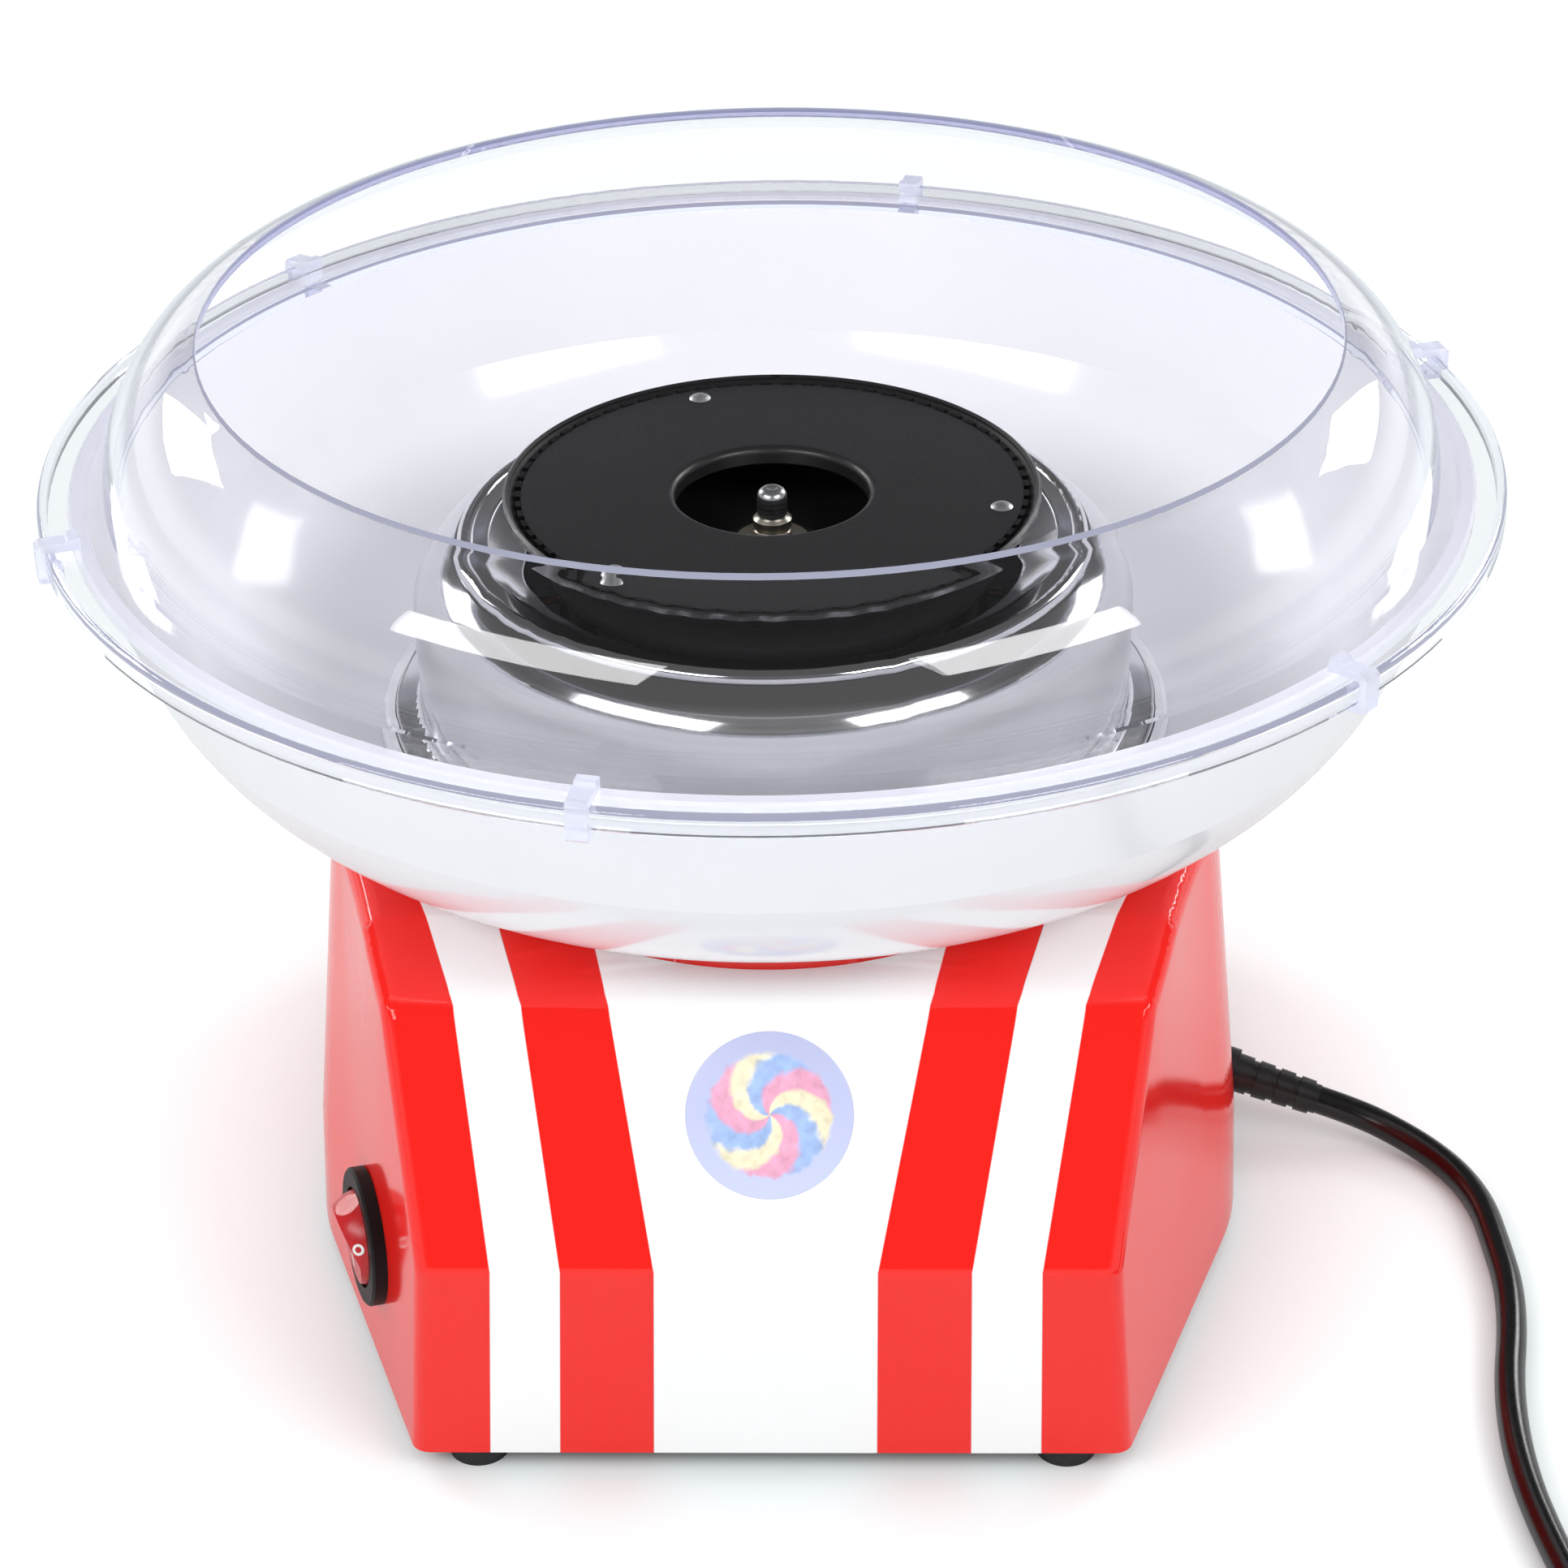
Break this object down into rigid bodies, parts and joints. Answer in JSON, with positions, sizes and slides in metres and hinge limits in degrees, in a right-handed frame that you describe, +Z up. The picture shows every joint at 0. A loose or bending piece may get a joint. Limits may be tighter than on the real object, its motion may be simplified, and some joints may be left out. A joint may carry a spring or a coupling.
{
  "type": "cotton candy machine",
  "caption": "Table-top electric candy-floss machine: striped housing, round bowl, clear splash shield with clips, heated spinning head in a steel shroud, rocker switch and mains cord.",
  "frame": {"origin": "on the table, under the axis that the head spins about; centre of the bottom of the bounding box of the machine without its cord", "axes": "+Z up; -Y towards the front panels with the badge; +X to the right as seen from the front, where the cord comes out"},
  "size_m": [0.3965, 0.3707, 0.1985],
  "materials": {
    "housing": "gloss",
    "bottom_plate": "matte",
    "foot_rubber": "matte",
    "fasteners": "satin",
    "motor_steel": "satin",
    "motor_plastic": "matte",
    "bushing_bronze": "satin",
    "magnet": "matte",
    "rotor_steel": "satin",
    "commutator_copper": "satin",
    "damper_rubber": "matte",
    "pan_aluminium": "satin",
    "element_steel": "satin",
    "post_ceramic": "matte",
    "cutoff_body": "satin",
    "shroud_steel": "polished",
    "shaft_steel": "polished",
    "head_black": "satin",
    "rivet_steel": "satin",
    "hub_nickel": "polished",
    "bowl_white": "gloss",
    "clear_plastic": "gloss",
    "switch_black": "satin",
    "rocker_red": "gloss",
    "terminal_brass": "satin",
    "terminal_plastic": "matte",
    "board_green": "satin",
    "diode_black": "satin",
    "cord_black": "satin",
    "plug_black": "satin",
    "pin_nickel": "polished"
  },
  "bodies": {
    "machine": {"housing": "housing", "base_plate": "bottom_plate", "foot_front_left": "foot_rubber", "foot_front_right": "foot_rubber", "foot_rear_left": "foot_rubber", "foot_rear_right": "foot_rubber", "foot_screws": "fasteners", "plate_screws": "fasteners", "motor_can": "motor_steel", "motor_end_cap": "motor_plastic", "motor_bushings": "bushing_bronze", "motor_magnets": "magnet", "motor_bracket": "motor_steel", "motor_dampers": "damper_rubber", "bracket_screws": "fasteners", "heater_pan": "pan_aluminium", "heating_element": "element_steel", "heater_posts": "post_ceramic", "thermal_cutoff": "cutoff_body", "shroud": "shroud_steel", "shroud_screws": "fasteners", "switch_body": "switch_black", "switch_tabs": "terminal_brass", "terminal_block": "terminal_plastic", "rectifier_board": "board_green", "rectifier_diodes": "diode_black", "strain_relief": "plug_black", "power_cord": "cord_black", "cord_coil": "cord_black", "plug_tail": "cord_black", "plug": "plug_black", "plug_pins": "pin_nickel"},
    "spindle": {"shaft": "shaft_steel", "drive_pin": "shaft_steel", "rotor": "rotor_steel", "commutator": "commutator_copper"},
    "head": {"head_dish": "head_black", "head_band": "head_black", "head_plate": "head_black", "head_rivets": "rivet_steel", "hub": "hub_nickel"},
    "bowl": {"bowl": "bowl_white"},
    "shield": {"shield": "clear_plastic", "clip_1": "clear_plastic", "clip_2": "clear_plastic", "clip_3": "clear_plastic", "clip_4": "clear_plastic", "clip_5": "clear_plastic", "clip_6": "clear_plastic"},
    "rocker": {"rocker": "rocker_red"}
  },
  "joints": [
    {"name": "head_spin", "type": "hinge", "parent": "machine", "child": "spindle", "pos_m": [0, 0, 0.1], "axis": [0, 0, 1], "continuous": true},
    {"name": "head_lift", "type": "slide", "parent": "spindle", "child": "head", "axis": [0, 0, 1], "range_m": [0, 0.035]},
    {"name": "bowl_lift", "type": "slide", "parent": "machine", "child": "bowl", "axis": [0, 0, 1], "range_m": [0, 0.06]},
    {"name": "shield_lift", "type": "slide", "parent": "bowl", "child": "shield", "axis": [0, 0, 1], "range_m": [0, 0.06]},
    {"name": "rocker_tilt", "type": "hinge", "parent": "machine", "child": "rocker", "pos_m": [-0.0801, -0.078, 0.033], "axis": [0.3219, -0.9468, 0], "range_deg": [-28, 0]}
  ]
}
